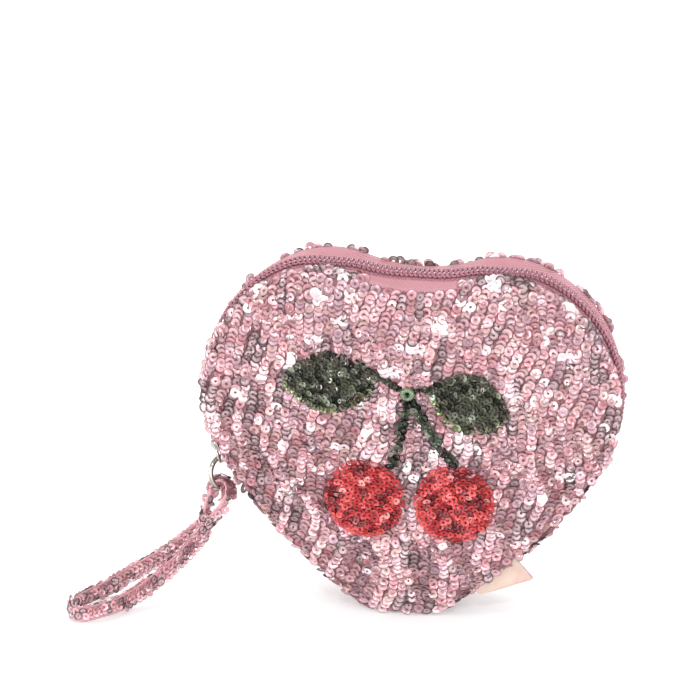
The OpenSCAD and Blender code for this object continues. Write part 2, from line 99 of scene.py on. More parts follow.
# Eye and band of the strap: half sizes of their sections, the eye's loop, and its rows with their side
EYE_W, EYE_T = 1.6, 0.8
EYE_HALF, EYE_START, EYE_SPIN_DEG = 3.7, -2.1, -75.0
EYE_ROWS = ((-0.9, 1), (0.9, 1), (-0.7, -1), (0.7, -1))
BAND_W, BAND_T = 2.5, 1.9

# Label: where it sits on the seam, its length along the seam, how far out its wide end reaches, and the
# bare stretch of side strip that it needs
LABEL_DEG = -48.6
LABEL_L, LABEL_OUT = 16.8, 8.7
LABEL_NARROW, LABEL_CORNER = 0.25, 0.7
LABEL_ROOM, LABEL_ROOM_Y = 11.0, -8.0

# Sequin colours: plain shades, a painted glint and a dark one; the painted glint is a pale colour that stands
# for light caught in the film, a painted highlight
PINK_PAINTED_GLINT, PINK_DARK = (0.98, 0.92, 0.94), (0.44, 0.30, 0.32)
PINK_SHADES = ((0.62, 0.37, 0.40), (0.63, 0.38, 0.41), (0.65, 0.42, 0.42), (0.59, 0.29, 0.32),
               (0.50, 0.31, 0.355))
PINK = (PINK_SHADES, PINK_PAINTED_GLINT, PINK_DARK)
STRAP_PINK = (((0.74, 0.40, 0.44), (0.78, 0.46, 0.49), (0.64, 0.35, 0.39)), PINK_PAINTED_GLINT, PINK_DARK)
RED = (((0.62, 0.074, 0.082), (0.68, 0.092, 0.090), (0.55, 0.060, 0.070)),
       (0.80, 0.34, 0.32), (0.30, 0.042, 0.050))
LEAF_GREEN = (((0.115, 0.109, 0.088), (0.135, 0.142, 0.100)), (0.30, 0.34, 0.25), (0.042, 0.045, 0.036))
STEM_GREEN = (((0.055, 0.065, 0.048), (0.10, 0.125, 0.082)), (0.20, 0.25, 0.17), (0.030, 0.034, 0.026))
STALK_GREEN = ((0.062, 0.076, 0.050), (0.24, 0.30, 0.19), (0.026, 0.032, 0.022))
OLIVE_EDGE = (1.25, 1.4, 0.95)


# Shapes of the outline

def heart_arcs():
    """Arcs of the outline, from right of the tip round to the left: centre, radius, first and last angle."""
    side_cx = LOBE_X - (SIDE_R - LOBE_R) * math.cos(math.radians(SIDE_DEG))
    side_drop = (SIDE_R - LOBE_R) * math.sin(math.radians(SIDE_DEG))
    lobe_z = SIDE_R * math.sin(math.acos((TIP_HALF - side_cx) / SIDE_R)) - side_drop
    side_cz = lobe_z + side_drop
    crown_x = LOBE_X + (LOBE_R - CROWN_R) * math.cos(math.radians(CROWN_DEG))
    crown_z = lobe_z + (LOBE_R - CROWN_R) * math.sin(math.radians(CROWN_DEG))
    rise = math.sqrt((CROWN_R + CLEFT_R) ** 2 - crown_x ** 2)
    dip_deg = 90 + math.degrees(math.atan(crown_x / rise))
    right = [
        (side_cx, side_cz, SIDE_R, -math.degrees(math.asin(side_cz / SIDE_R)), -SIDE_DEG),
        (LOBE_X, lobe_z, LOBE_R, -SIDE_DEG, CROWN_DEG),
        (crown_x, crown_z, CROWN_R, CROWN_DEG, dip_deg),
        (0.0, crown_z + rise, CLEFT_R, dip_deg - 180, -90.0),
    ]
    left = [(-cx, cz, r, 180 - a1, 180 - a0) for cx, cz, r, a0, a1 in reversed(right)]
    return right + left, lobe_z


ARCS, LOBE_Z = heart_arcs()


def unit(directions):
    return directions / np.linalg.norm(directions, axis=-1, keepdims=True)


def distances(line):
    """Distance of each place of a line from its start."""
    return np.concatenate(((0.0,), np.cumsum(np.linalg.norm(np.diff(line, axis=0), axis=1))))


def sample_path(step=0.25):
    """Places, outward normals and distances along the outline."""
    points, normals = [], []
    for cx, cz, r, a0, a1 in ARCS:
        count = max(2, int(abs(math.radians(a1 - a0)) * r / step))
        angle = np.radians(np.linspace(a0, a1, count, endpoint=False))
        way = 1.0 if a1 > a0 else -1.0
        ray = np.stack((np.cos(angle), np.sin(angle)), 1)
        points.append(np.array((cx, cz)) + r * ray)
        normals.append(way * ray)
    points, normals = np.concatenate(points), np.concatenate(normals)
    return points, normals, distances(points)


PATH, PATH_N, PATH_S = sample_path()
PATH_L = PATH_S[-1]


def path_at(s, out=0.0):
    """Place in the XZ plane at a distance along the outline, moved outwards."""
    s = np.asarray(s, float)
    x = np.interp(s, PATH_S, PATH[:, 0]) + out * np.interp(s, PATH_S, PATH_N[:, 0])
    z = np.interp(s, PATH_S, PATH[:, 1]) + out * np.interp(s, PATH_S, PATH_N[:, 1])
    return x, z


def normal_at(s):
    return unit(np.stack((np.interp(s, PATH_S, PATH_N[:, 0]), np.interp(s, PATH_S, PATH_N[:, 1])), -1))


def off_path(s, out, y):
    """Places in space at a distance outside the outline and from the middle plane."""
    x, z = path_at(s)
    n = normal_at(s)
    return np.stack((x + n[:, 0] * out, y, z + n[:, 1] * out), -1)


def outward(s):
    """Outward directions in space along the outline."""
    n = normal_at(s)
    return np.stack((n[:, 0], np.zeros(len(n)), n[:, 1]), -1)


def fold_places():
    """Distances along the outline where it crosses the fold, on the right and on the left."""
    above = np.nonzero(PATH[:, 1] > FOLD_Z)[0]
    return PATH_S[above[0]], PATH_S[above[-1]]


FOLD_RIGHT, FOLD_LEFT = fold_places()
LABEL_S = math.radians(LABEL_DEG - ARCS[0][3]) * SIDE_R
SLIDER_DEG = math.degrees(SLIDER_L / LOBE_R)
ZIP_RIGHT = FOLD_RIGHT - END_PAST_FOLD
ZIP_LEFT = FOLD_LEFT + math.radians(PARK_DEG + SLIDER_DEG / 2 - 180 - math.degrees(
    math.asin((LOBE_Z - FOLD_Z) / LOBE_R))) * LOBE_R + END_PAST_SLIDER

CROWN_S = [float(PATH_S[np.argmin(np.hypot(PATH[:, 0] - x, PATH[:, 1] - PATH[:, 1].max()))])
           for x in (26.4, -26.4)]


def zip_sag(s):
    """How far the taut zip keeps inside the tops of the lobes, and outside the dip between them."""
    tops = sum(np.exp(-((s - at) / LOBE_SAG_RUN) ** 2) for at in CROWN_S)
    return DIP_RISE * np.exp(-((s - PATH_L / 2) / DIP_RISE_RUN) ** 2) - LOBE_SAG * tops


# Distance from the middle of the fold to the outline, by direction
RIM_LOOP = np.concatenate((PATH, np.stack((np.linspace(-TIP_HALF, TIP_HALF, 40), np.zeros(40)), 1)))
RIM_ANGLE = np.arctan2(RIM_LOOP[:, 1] - FOLD_Z, RIM_LOOP[:, 0])
RIM_REACH = np.hypot(RIM_LOOP[:, 0], RIM_LOOP[:, 1] - FOLD_Z)
RIM_ORDER = np.argsort(RIM_ANGLE)
RIM_ANGLE, RIM_REACH = RIM_ANGLE[RIM_ORDER], RIM_REACH[RIM_ORDER]


def rim_share(x, z):
    """0 in the middle of a face and 1 on its rim."""
    angle = np.arctan2(z - FOLD_Z, x)
    return np.hypot(x, z - FOLD_Z) / np.interp(angle, RIM_ANGLE, RIM_REACH, period=2 * math.pi)


def unevenness(x, z):
    """Gentle lumps of the stuffing."""
    return (0.35 * np.sin(x * 0.11 + 1.3) * np.cos(z * 0.13 + 0.4)
            + 0.22 * np.sin(x * 0.23 + z * 0.17))


def face_depth(x, z):
    """Distance of the sewn face from the middle plane."""
    share = np.clip(rim_share(x, z), 0, 1)
    puff = PUFF * (1 - share ** PUFF_POWER) ** PUFF_ROUND
    return RIM_DEPTH + puff + unevenness(x, z) * (1 - share)


def face_frame(x, z, side):
    """Places on a face with their upward, sideways and outward directions; side is -1 in front."""
    d = 0.3
    y = face_depth(x, z)
    dx = (face_depth(x + d, z) - face_depth(x - d, z)) / (2 * d)
    dz = (face_depth(x, z + d) - face_depth(x, z - d)) / (2 * d)
    dx, dz = np.clip(dx, -1.6, 1.6), np.clip(dz, -1.6, 1.6)
    place = np.stack((x, side * y, z), -1)
    out = unit(np.stack((-dx, side * np.ones_like(x), -dz), -1))
    up = unit(np.stack((np.zeros_like(x), side * dz, np.ones_like(x)), -1))
    across = np.cross(up, out)
    return place, up, across, out


# Meshes

def add_mesh(name, points, faces, materials, slots=None, smooth=True, tint=None, rib=None):
    """Object from places in millimetres, pressed flat where it would go through the floor."""
    name = name.replace(" ", "_")
    mesh = bpy.data.meshes.new(name)
    points = np.array(points, float)
    points[:, 2] = np.maximum(points[:, 2], FLOOR_GAP)
    mesh.from_pydata((points * MM).tolist(), [], [list(f) for f in faces])
    for material in materials:
        mesh.materials.append(material)
    if slots is not None:
        mesh.polygons.foreach_set("material_index", np.asarray(slots, np.int32))
    mesh.polygons.foreach_set("use_smooth", np.full(len(mesh.polygons), smooth))
    if tint is not None:
        layer = mesh.attributes.new("tint", "FLOAT_COLOR", "POINT")
        layer.data.foreach_set("color", np.asarray(tint, np.float32).ravel())
    if rib is not None:
        layer = mesh.attributes.new("rib", "FLOAT", "POINT")
        layer.data.foreach_set("value", np.asarray(rib, np.float32).ravel())
    mesh.validate()
    mesh.update()
    obj = bpy.data.objects.new(name, mesh)
    bpy.context.scene.collection.objects.link(obj)
    return obj


def grid_faces(rows, cols, closed_cols=False, start=0, flip=False):
    faces = []
    for i in range(rows - 1):
        for j in range(cols if closed_cols else cols - 1):
            a, b = start + i * cols + j, start + i * cols + (j + 1) % cols
            quad = (a, b, b + cols, a + cols)
            faces.append(quad[::-1] if flip else quad)
    return faces


def end_caps(rows, cols):
    """Faces that close both ends of a tube."""
    return [tuple(range(cols))[::-1], tuple((rows - 1) * cols + j for j in range(cols))]


def sweep(line, wide, thin, sides, wide_way, closed=False):
    """Oval tube along a line, with its wide side turned to one way as near as it goes."""
    line = np.asarray(line, float)
    n = len(line)
    if closed:
        ahead, behind = np.roll(line, -1, 0), np.roll(line, 1, 0)
    else:
        ahead = np.concatenate((line[1:], line[-1:]))
        behind = np.concatenate((line[:1], line[:-1]))
    t = unit(ahead - behind)
    way = np.broadcast_to(np.asarray(wide_way, float), line.shape)
    u = unit(way - t * np.sum(way * t, 1, keepdims=True))
    v = np.cross(t, u)
    angle = np.linspace(0, 2 * math.pi, sides, endpoint=False)
    ring = (line[:, None] + wide * u[:, None] * np.cos(angle)[None, :, None]
            + thin * v[:, None] * np.sin(angle)[None, :, None])
    faces = grid_faces(n, sides, closed_cols=True)
    if closed:
        last = (n - 1) * sides
        faces += [(last + j, last + (j + 1) % sides, (j + 1) % sides, j) for j in range(sides)]
    else:
        faces += end_caps(n, sides)
    return ring.reshape(-1, 3), faces, t, u, v


def joined(parts):
    """Places and faces of several shapes as one."""
    points, faces = [], []
    for part_points, part_faces in parts:
        faces += [tuple(k + len(points) for k in face) for face in part_faces]
        points += part_points.tolist()
    return points, faces


def smooth_line(points, per=6):
    """Finer line through the same points."""
    p = np.asarray(points, float)
    p = np.concatenate((2 * p[:1] - p[1:2], p, 2 * p[-1:] - p[-2:-1]))
    out = []
    for i in range(1, len(p) - 2):
        for k in range(per):
            t = k / per
            out.append(0.5 * (2 * p[i] + (p[i + 1] - p[i - 1]) * t
                              + (2 * p[i - 1] - 5 * p[i] + 4 * p[i + 1] - p[i + 2]) * t ** 2
                              + (3 * p[i] - p[i - 1] - 3 * p[i + 1] + p[i + 2]) * t ** 3))
    out.append(p[-2])
    return np.array(out)


# Sequins

SEQUIN_SIDES = 12
SEQUIN_RINGS = ((0.24, 0.02), (0.60, 0.0), (0.86, 0.06), (1.0, 0.17))


def sequin_shape():
    """Cup with a hole, of radius one, and the faces between its rings."""
    angle = np.linspace(0, 2 * math.pi, SEQUIN_SIDES, endpoint=False)
    rings = [np.stack((r * np.cos(angle), r * np.sin(angle), np.full_like(angle, h)), 1)
             for r, h in SEQUIN_RINGS]
    faces = grid_faces(len(SEQUIN_RINGS), SEQUIN_SIDES, closed_cols=True, flip=True)
    return np.concatenate(rings), np.array(faces)


CUP, CUP_FACES = sequin_shape()
# How much each ring of a sequin, from the hole out, scales its colour: the dark outer ring is partly a real
# dark edge and partly painted shade where the sequins lap, and sequins with a painted glint stay pale out to
# the rim as a painted highlight
PLAIN_EDGE_AND_PAINTED_SHADE = np.repeat((0.70, 1.0, 0.98, 0.22), SEQUIN_SIDES)
DARK_EDGE_AND_PAINTED_SHADE = np.repeat((1.25, 0.90, 0.32, 0.10), SEQUIN_SIDES)
PAINTED_GLINT_SHADE = np.repeat((0.9, 1.0, 1.0, 0.8), SEQUIN_SIDES)


def add_sequins(name, material, place, up, across, out, colours, radius=SEQUIN_R, lean=14.0, loose=10.0,
                wild=0.1, way=1.0):
    """One mesh of many sequins that lie on a surface, shingled upwards or, where way is -1, downwards."""
    count = len(place)
    colours, rims, painted_glint = colours
    lean_by = np.radians(RNG.normal(lean, loose, count)) * way
    roll_by = np.radians(RNG.normal(0, loose * 1.2, count))
    stray = RNG.random(count) < wild
    lean_by = np.where(stray, np.radians(RNG.uniform(-50, 60, count)), lean_by)
    roll_by = np.where(stray, np.radians(RNG.uniform(-45, 45, count)), roll_by)
    cl, sl = np.cos(lean_by)[:, None], np.sin(lean_by)[:, None]
    cr, sr = np.cos(roll_by)[:, None], np.sin(roll_by)[:, None]
    up2, out2 = up * cl + out * sl, out * cl - up * sl
    across2, out3 = across * cr + out2 * sr, out2 * cr - across * sr
    size = radius * RNG.uniform(0.94, 1.05, count)[:, None]
    lift = (0.15 + size[:, 0] * 0.75 * np.maximum(np.abs(np.sin(lean_by)), np.abs(np.sin(roll_by))))[:, None]
    centre = place + out * lift
    basis = np.stack((across2, up2, out3), 1) * size[:, :, None]
    points = centre[:, None] + np.einsum("pk,nkc->npc", CUP, basis)
    faces = (CUP_FACES[None] + (np.arange(count) * len(CUP))[:, None, None]).reshape(-1, 4)
    tint = np.ones((count, len(CUP), 4))
    # Ring colours: painted shade darkens the outer ring, partly a real dark edge; sequins with a painted
    # glint get a pale painted highlight and no metal
    shade = np.where(rims[:, None], DARK_EDGE_AND_PAINTED_SHADE[None], PLAIN_EDGE_AND_PAINTED_SHADE[None])
    shade = np.where(painted_glint[:, None], PAINTED_GLINT_SHADE[None], shade)
    tint[:, :, :3] = colours[:, None] * shade[:, :, None]
    tint[:, :, 3] = np.where(painted_glint, 0.0, FILM_METAL)[:, None]
    return add_mesh(name, points.reshape(-1, 3), faces.tolist(), [material], tint=tint.reshape(-1, 4))


def pick_colours(count, palette, dark_share, painted_glint_odds, along=None):
    """Colour of each sequin, and whether its rim is dark or it carries a painted glint, a paler colour that
    stands for a highlight; dark ones come in runs.
    """
    plain, painted_glint_colour, dark = palette
    spread = RNG.uniform(0.84, 1.12, (count, 1))
    shades = np.atleast_2d(plain)
    colours = shades[RNG.integers(len(shades), size=count)] * spread
    run = RNG.random(count) if along is None else along
    rims = (run < dark_share) & (RNG.random(count) < 0.85) | (RNG.random(count) < dark_share * 0.25)
    colours = np.where(rims[:, None], np.array(dark)[None] * spread, colours)
    # Painted highlight: these sequins are coloured part way towards the pale glint colour
    painted_glint = RNG.random(count) < painted_glint_odds
    painted_glint_mix = RNG.uniform(0.35, 1.0, (count, 1))
    painted_glint_colour = np.array(painted_glint_colour) * painted_glint_mix + colours * (1 - painted_glint_mix)
    return np.where(painted_glint[:, None], painted_glint_colour, colours), rims & ~painted_glint, painted_glint


def run_values(keys, distance, length=9.0):
    """Random value from 0 to 1 for each sequin that stays the same along short runs of its string."""
    cell = np.floor(distance / length).astype(int)
    mixed = np.sin(keys * 12.9898 + cell * 78.233) * 43758.5453
    return mixed - np.floor(mixed)


def painted_glint_share(x, z):
    """Share of sequins with a painted glint, a painted highlight that gathers in small clusters, more of them
    high up where the light catches the face.
    """
    patch = np.sin(x * 0.41 + 0.8) * np.cos(z * 0.47 + 2.2) + 0.5 * np.sin(x * 0.17 - z * 0.13)
    return 0.02 + 0.7 * (patch > 0.92) * np.clip((z - 20) / 55, 0, 1)


def strings(width_low, width_high, low, high):
    """Places in the plane on wavy strings: key of the string, across and along."""
    keys = np.arange(int(width_low / STRING_GAP) - 2, int(width_high / STRING_GAP) + 3)
    along = np.arange(low, high, STRING_STEP)
    key, z = np.meshgrid(keys, along, indexing="ij")
    key, z = key.ravel().astype(float), z.ravel() + (key.ravel() % 2) * STRING_STEP / 2
    x = (key * STRING_GAP + 2.0 * np.sin(z / 8.3 + key * 0.17) + 1.1 * np.sin(z / 3.7 + key * 0.63)
         + RNG.normal(0, 0.24, len(key)))
    return key, x, z + RNG.normal(0, 0.22, len(key))


def leaf_half_width(share):
    return LEAF_W / 2 * np.sin(np.pi * np.clip(share, 0, 1)) ** 0.8


def leaf_places(x, z, leaf):
    """Share of the way along a leaf, and distance from its middle line as a share of the half width there."""
    (x0, z0), length, deg = leaf
    c, s = math.cos(math.radians(deg)), math.sin(math.radians(deg))
    along = ((x - x0) * c + (z - z0) * s) / length
    across = (z - z0) * c - (x - x0) * s
    return along, across / np.maximum(leaf_half_width(along), 0.01)


def under_motif(x, z):
    """True where fruit, leaves or stems hide the pink sequins."""
    hidden = np.zeros(x.shape, bool)
    for cx, cz in CHERRIES:
        hidden |= np.hypot(x - cx, z - cz) < CHERRY_R - 0.8
    for leaf in (LEFT_LEAF, RIGHT_LEAF):
        along, across = leaf_places(x, z, leaf)
        hidden |= (along > 0.06) & (along < 0.94) & (np.abs(across) < 0.88)
    return hidden


# Materials

def material(name):
    m = bpy.data.materials.new(name)
    m.use_nodes = True
    return m, m.node_tree.nodes, m.node_tree.links, m.node_tree.nodes["Principled BSDF"]


def add_bump(nodes, links, shader, scale, strength, distance):
    place = nodes.new("ShaderNodeTexCoord")
    noise = nodes.new("ShaderNodeTexNoise")
    noise.inputs["Scale"].default_value = scale
    noise.inputs["Detail"].default_value = 3.0
    bump = nodes.new("ShaderNodeBump")
    bump.inputs["Strength"].default_value = strength
    bump.inputs["Distance"].default_value = distance
    links.new(place.outputs["Object"], noise.inputs["Vector"])
    links.new(noise.outputs["Fac"], bump.inputs["Height"])
    links.new(bump.outputs["Normal"], shader.inputs["Normal"])
    return noise


def add_ramp(nodes, low, high, start=0.0, end=1.0):
    ramp = nodes.new("ShaderNodeValToRGB")
    for element, colour, at in zip(ramp.color_ramp.elements, (low, high), (start, end)):
        element.color = (*colour, 1)
        element.position = at
    return ramp


def add_math(nodes, links, operation, *values):
    """Math node, each of whose inputs is a number or another node's output."""
    node = nodes.new("ShaderNodeMath")
    node.operation = operation
    for socket, value in zip(node.inputs, values):
        if isinstance(value, (int, float)):
            socket.default_value = value
        else:
            links.new(value, socket)
    return node.outputs["Value"]


def cloth_material(name, colour, other, scale=900.0, roughness=0.75, sheen=0.3):
    """Cloth with a fine grain and a little change of colour."""
    m, nodes, links, shader = material(name)
    noise = add_bump(nodes, links, shader, scale, 0.35, 0.0002)
    ramp = add_ramp(nodes, colour, other, 0.35, 0.65)
    links.new(noise.outputs["Fac"], ramp.inputs["Fac"])
    links.new(ramp.outputs["Color"], shader.inputs["Base Color"])
    shader.inputs["Roughness"].default_value = roughness
    shader.inputs["Sheen Weight"].default_value = sheen
    return m


def sequin_material(name, roughness=0.3):
    """Shiny film in the colour that each sequin carries, and as metallic as it says."""
    m, nodes, links, shader = material(name)
    tint = nodes.new("ShaderNodeAttribute")
    tint.attribute_name = "tint"
    links.new(tint.outputs["Color"], shader.inputs["Base Color"])
    links.new(tint.outputs["Alpha"], shader.inputs["Metallic"])
    shader.inputs["Roughness"].default_value = roughness
    shader.inputs["Coat Weight"].default_value = 0.08
    shader.inputs["Coat Roughness"].default_value = 0.1
    return m


def twill_material():
    """Tape with fine diagonal ribs, which follow it round the outline."""
    m, nodes, links, shader = material("zip tape twill")
    rib = nodes.new("ShaderNodeAttribute")
    rib.attribute_name = "rib"
    turn = add_math(nodes, links, "MULTIPLY", rib.outputs["Fac"], 2 * math.pi / RIB_PITCH)
    sine = add_math(nodes, links, "SINE", turn)
    wave = add_math(nodes, links, "MULTIPLY_ADD", sine, 0.5, 0.5)
    ramp = add_ramp(nodes, (0.40, 0.15, 0.19), (0.69, 0.31, 0.36))
    bump = nodes.new("ShaderNodeBump")
    bump.inputs["Strength"].default_value = 0.5
    bump.inputs["Distance"].default_value = 0.0002
    links.new(wave, ramp.inputs["Fac"])
    links.new(ramp.outputs["Color"], shader.inputs["Base Color"])
    links.new(wave, bump.inputs["Height"])
    links.new(bump.outputs["Normal"], shader.inputs["Normal"])
    shader.inputs["Roughness"].default_value = 0.8
    shader.inputs["Sheen Weight"].default_value = 0.2
    return m


def hard_material(name, colour, grain, strength, inputs):
    """Nylon, metal or glass with a fine grain."""
    m, nodes, links, shader = material(name)
    add_bump(nodes, links, shader, grain, strength, 0.0001)
    shader.inputs["Base Color"].default_value = (*colour, 1)
    for key, value in inputs.items():
        shader.inputs[key].default_value = value
    return m


# Pieces

def face_loop(inset):
    """Places on a face from its rim to the middle, inside the outline and level along the flattened tip."""
    s = np.linspace(0, PATH_L + 2 * TIP_HALF, FACE_LOOP, endpoint=False)
    x, z = path_at(np.minimum(s, PATH_L), -inset)
    past = s > PATH_L
    x = np.where(past, -TIP_HALF + (s - PATH_L), x)
    z = np.where(past, inset, z)
    return x[None] * FACE_SHARES[:, None], FOLD_Z + (z[None] - FOLD_Z) * FACE_SHARES[:, None]


def build_face(name, side, cloth, satin):
    """Stuffed face: sequin cloth outside, lining inside, rounded at the rim."""
    loop = FACE_LOOP
    gx, gz = face_loop(CLOTH_INSET)
    ix, iz = face_loop(LINING_INSET)
    depth = face_depth(gx, gz)
    crown = (PUFF - LINING_LESS_PUFF) * (1 - np.clip(rim_share(ix, iz), 0, 1) ** PUFF_POWER)
    inner = HALF_D - LINING_RIM_DEPTH + crown + unevenness(ix, iz) * 0.5
    rows = len(FACE_SHARES)
    outer_points = np.stack((gx, side * depth, gz), -1).reshape(-1, 3)
    inner_points = np.stack((ix, side * inner, iz), -1).reshape(-1, 3)
    points = np.concatenate((outer_points, inner_points, ((0, side * face_depth(0.0, FOLD_Z), FOLD_Z),
                             (0, side * inner[-1].mean(), FOLD_Z))))
    front = side < 0
    last, inside = (rows - 1) * loop, rows * loop
    faces = grid_faces(rows, loop, closed_cols=True, flip=not front)
    faces += grid_faces(rows, loop, closed_cols=True, start=inside, flip=front)
    ring = [(j, (j + 1) % loop) for j in range(loop)]
    closing = [(j, j + inside, k + inside, k) for j, k in ring]
    for j, k in ring:
        closing.append((last + j, last + k, 2 * inside))
        closing.append((last + inside + k, last + inside + j, 2 * inside + 1))
    faces += closing if front else [face[::-1] for face in closing]
    slots = np.zeros(len(faces), np.int32)
    slots[last:2 * last] = 1
    slots[2 * last + loop + 1::2] = 1
    obj = add_mesh(name, points, faces, [cloth, satin], slots)
    return obj


def strip_mesh(name, s0, s1, rows_y, outs, materials, slots_by_col=None, step=1.2, sag=False):
    """Band round the outline, with a cross-section given by depths and heights in a closed loop."""
    n = max(2, int(abs(s1 - s0) / step))
    s = np.linspace(s0, s1, n)
    rows_y, outs = np.asarray(rows_y, float), np.asarray(outs, float)
    if sag:
        outs = outs + zip_sag(s)[:, None] * np.clip((HALF_D - np.abs(rows_y)) / 7.0, 0, 1)
    nx, nz = normal_at(s).T
    px, pz = path_at(s)
    points = np.stack((px[:, None] + nx[:, None] * outs, np.broadcast_to(rows_y, (n, len(rows_y))),
                       pz[:, None] + nz[:, None] * outs), -1).reshape(-1, 3)
    cols = len(rows_y)
    faces = grid_faces(n, cols, closed_cols=True)
    slots = [0 if slots_by_col is None else slots_by_col[f % cols] for f in range(len(faces))]
    faces += end_caps(n, cols)
    rib = s[:, None] + RIB_SLANT * np.abs(rows_y)[None]
    return add_mesh(name, points, faces, materials, slots + [0, 0], rib=rib)


def build_gusset(cloth, satin):
    """Side strip under the zip, bare at the very tip."""
    half = HALF_D + 0.1
    ys = np.concatenate((np.linspace(-half, half, 9), np.linspace(half - 3.2, -half + 3.2, 7)))
    bow = 0.25 * (1 - np.linspace(-1, 1, 9) ** 2)
    outs = np.concatenate((bow - 0.1, np.full(7, -1.9)))
    cols = [0] * 8 + [1] * 8
    tip_x = np.linspace(-TIP_HALF, TIP_HALF, 9)
    pieces = []
    strips = ((ZIP_LEFT - 0.3, PATH_L, "left side strip"), (0.0, ZIP_RIGHT + 0.3, "right side strip"))
    for s0, s1, name in strips:
        pieces.append(strip_mesh(name, s0, s1, ys, outs, [cloth, satin], cols))
    points = []
    for x in tip_x:
        for y, out in zip(ys, outs):
            points.append((x, y, max(0.15 - min(out, 0.0), 0.1)))
    count = len(ys)
    faces = grid_faces(len(tip_x), count, closed_cols=True)
    faces += end_caps(len(tip_x), count)
    pieces.append(add_mesh("bare strip at the tip", points, faces, [cloth]))
    return pieces


def build_tapes(twill):
    """Two woven tapes that dip a little between the coil and the seam."""
    pieces = []
    for side, name in ((-1, "front zip tape"), (1, "rear zip tape")):
        ys, outs = side * np.array(TAPE_Y), np.array(TAPE_OUT)
        if side < 0:
            ys, outs = ys[::-1], outs[::-1]
        pieces.append(strip_mesh(name, ZIP_RIGHT, ZIP_LEFT, ys, outs, [twill], sag=True))
    return pieces


def build_coil(name, s0, s1, side, phase, nylon):
    """Row of nylon coil: a flattened spiral whose heads reach past the middle."""
    turns = int((s1 - s0) / COIL_PITCH)
    per = 10
    t = np.arange(turns * per + 1) / per
    angle = 2 * math.pi * t
    s = s0 + (t + phase) * COIL_PITCH + 0.28 * np.sin(2 * angle)
    s = np.clip(s, s0, s1)
    middle, half = (COIL_OUT - COIL_LAP) / 2, (COIL_OUT + COIL_LAP) / 2
    y = side * (middle + (half - COIL_WIRE) * np.cos(angle))
    out = COIL_LIFT + COIL_WIRE + (COIL_TOP - 2 * COIL_WIRE) * (0.5 + 0.5 * np.sin(angle)) + zip_sag(s)
    points, faces, *_ = sweep(off_path(s, out, y), COIL_WIRE, COIL_WIRE, 6, outward(s))
    return add_mesh(name, points, faces, [nylon])


def build_stitches(thread):
    """Two lines of stitches along each tape, beside the coil."""
    pieces = []
    for side, name in ((-1, "front coil stitches"), (1, "rear coil stitches")):
        parts = []
        for depth in STITCH_DEPTHS:
            for s in np.arange(ZIP_RIGHT + STITCH_MARGIN, ZIP_LEFT - STITCH_MARGIN, COIL_PITCH):
                part = np.array((0.0, 0.5, 1.0)) * COIL_PITCH * 0.8 + s
                height = COIL_TOP + 0.1 if depth < COIL_OUT else 0.1
                out = height + np.array((-0.12, 0.1, -0.12)) + zip_sag(part)
                line = off_path(part, out, np.full(3, side * depth))
                parts.append(sweep(line, 0.22, 0.14, 5, (0, 1, 0))[:2])
        pieces.append(add_mesh(name, *joined(parts), [thread]))
    return pieces


def sew_face(name, side, film, palette):
    """Sequins of a face, with the loose ones at the edge of its zip tape."""
    key, x, z = strings(-66, 66, 0.8, 114)
    share = rim_share(x, z)
    keep = (share < 0.995) & (z > 1.9)
    if side < 0:
        keep &= ~under_motif(x, z)
    else:
        keep &= (share < 0.965) | (z < FOLD_Z) | (RNG.random(len(x)) < 0.45)
    key, x, z = key[keep], x[keep], z[keep]
    sewn = (key, x, z, *face_frame(x, z, side))
    key, x, z, place, up, across, out = (np.concatenate(pair) for pair in zip(sewn, rim_sequins(side)))
    run = np.where(key == DARK_ROW, 0.05, np.where(key == PLAIN_ROW, 0.9, run_values(key, z)))
    colours = pick_colours(len(x), palette, 0.17, painted_glint_share(x, z), run)
    return add_sequins(name, film, place, up, across, out, colours, way=sewing_way(key, z))


def sewing_way(keys, distance):
    """Most stretches of string are shingled upwards, the others downwards."""
    return np.where(run_values(keys + 0.37, distance, 26.0) < 0.62, 1.0, -1.0)


# Rows of loose sequins at the edge of each tape: key, depth and how many are there
FRONT_RIM = ((101, 11.9, 0.9), (102, 10.5, 0.7), (103, 9.2, 0.3))
DARK_ROW, PLAIN_ROW = 104, 105
REAR_RIM = ((DARK_ROW, 12.5, 0.28), (PLAIN_ROW, 12.2, 0.30))
RIM_STEP, DIP_BARE = 1.9, 15.0


def rim_sequins(side):
    """They lap over the front edge, but not in the dip between the lobes, and stand up at the rear edge."""
    rows = []
    for key, depth, share in FRONT_RIM if side < 0 else REAR_RIM:
        s = np.arange(ZIP_RIGHT, ZIP_LEFT - 2.0, RIM_STEP) + (key % 3) * 0.7
        s = s[(RNG.random(len(s)) < share) & ((side > 0) | (np.abs(s - PATH_L / 2) > DIP_BARE))]
        rows.append((np.full(len(s), float(key)), s, side * depth + RNG.normal(0, 0.35, len(s))))
    key, s, y = (np.concatenate(part) for part in zip(*rows))
    x, z = path_at(s, 0.0 if side < 0 else RNG.uniform(-1.2, 0.4, len(s)))
    slope = 0.8 if side < 0 else 0.28
    n = normal_at(s)
    out = np.stack((n[:, 0] * slope, np.full_like(s, side * math.sqrt(1 - slope ** 2)), n[:, 1] * slope), -1)
    across = np.stack((n[:, 1], 0 * s, -n[:, 0]), -1) * -side
    return key, x, z, np.stack((x, y, z), -1), np.cross(out, across), across, out


